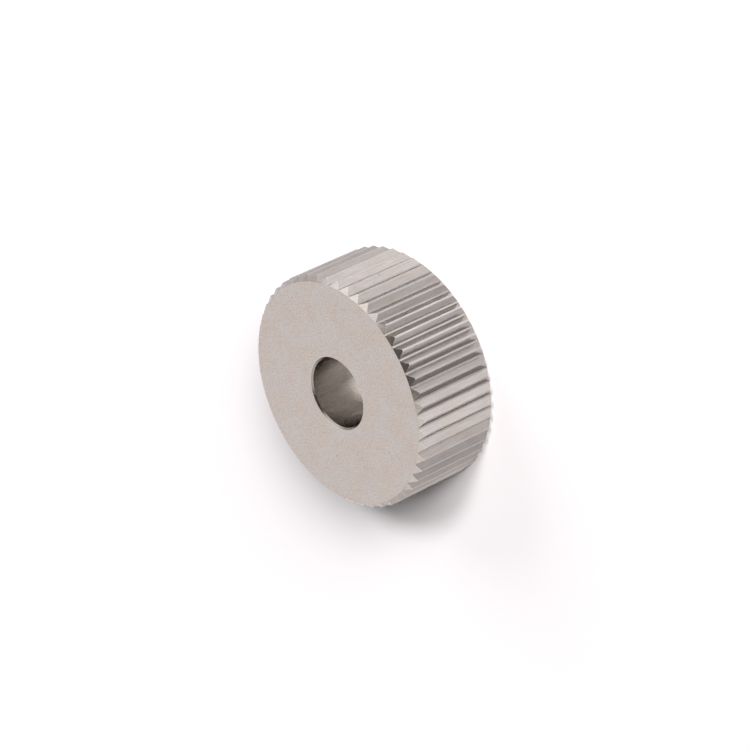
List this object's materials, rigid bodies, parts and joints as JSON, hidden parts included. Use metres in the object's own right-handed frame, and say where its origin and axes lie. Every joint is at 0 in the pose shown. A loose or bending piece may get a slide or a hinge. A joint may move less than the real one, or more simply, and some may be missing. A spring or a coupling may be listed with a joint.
{
  "type": "embossing wheel",
  "caption": "Straight-tooth embossing (knurling) wheel: a hardened steel ring with a plain pin bore, V teeth round its rim and bevelled ends.",
  "frame": {"origin": "on the wheel's axis at its back face, which it stands on", "axes": "+Z along the bore axis, from the back face to the front face; a tooth crest lies on +X"},
  "size_m": [0.02, 0.02, 0.008],
  "materials": {
    "tool_steel": "satin, hardened and tempered steel"
  },
  "bodies": {
    "root": {"embossing_wheel": "tool_steel"}
  },
  "joints": []
}
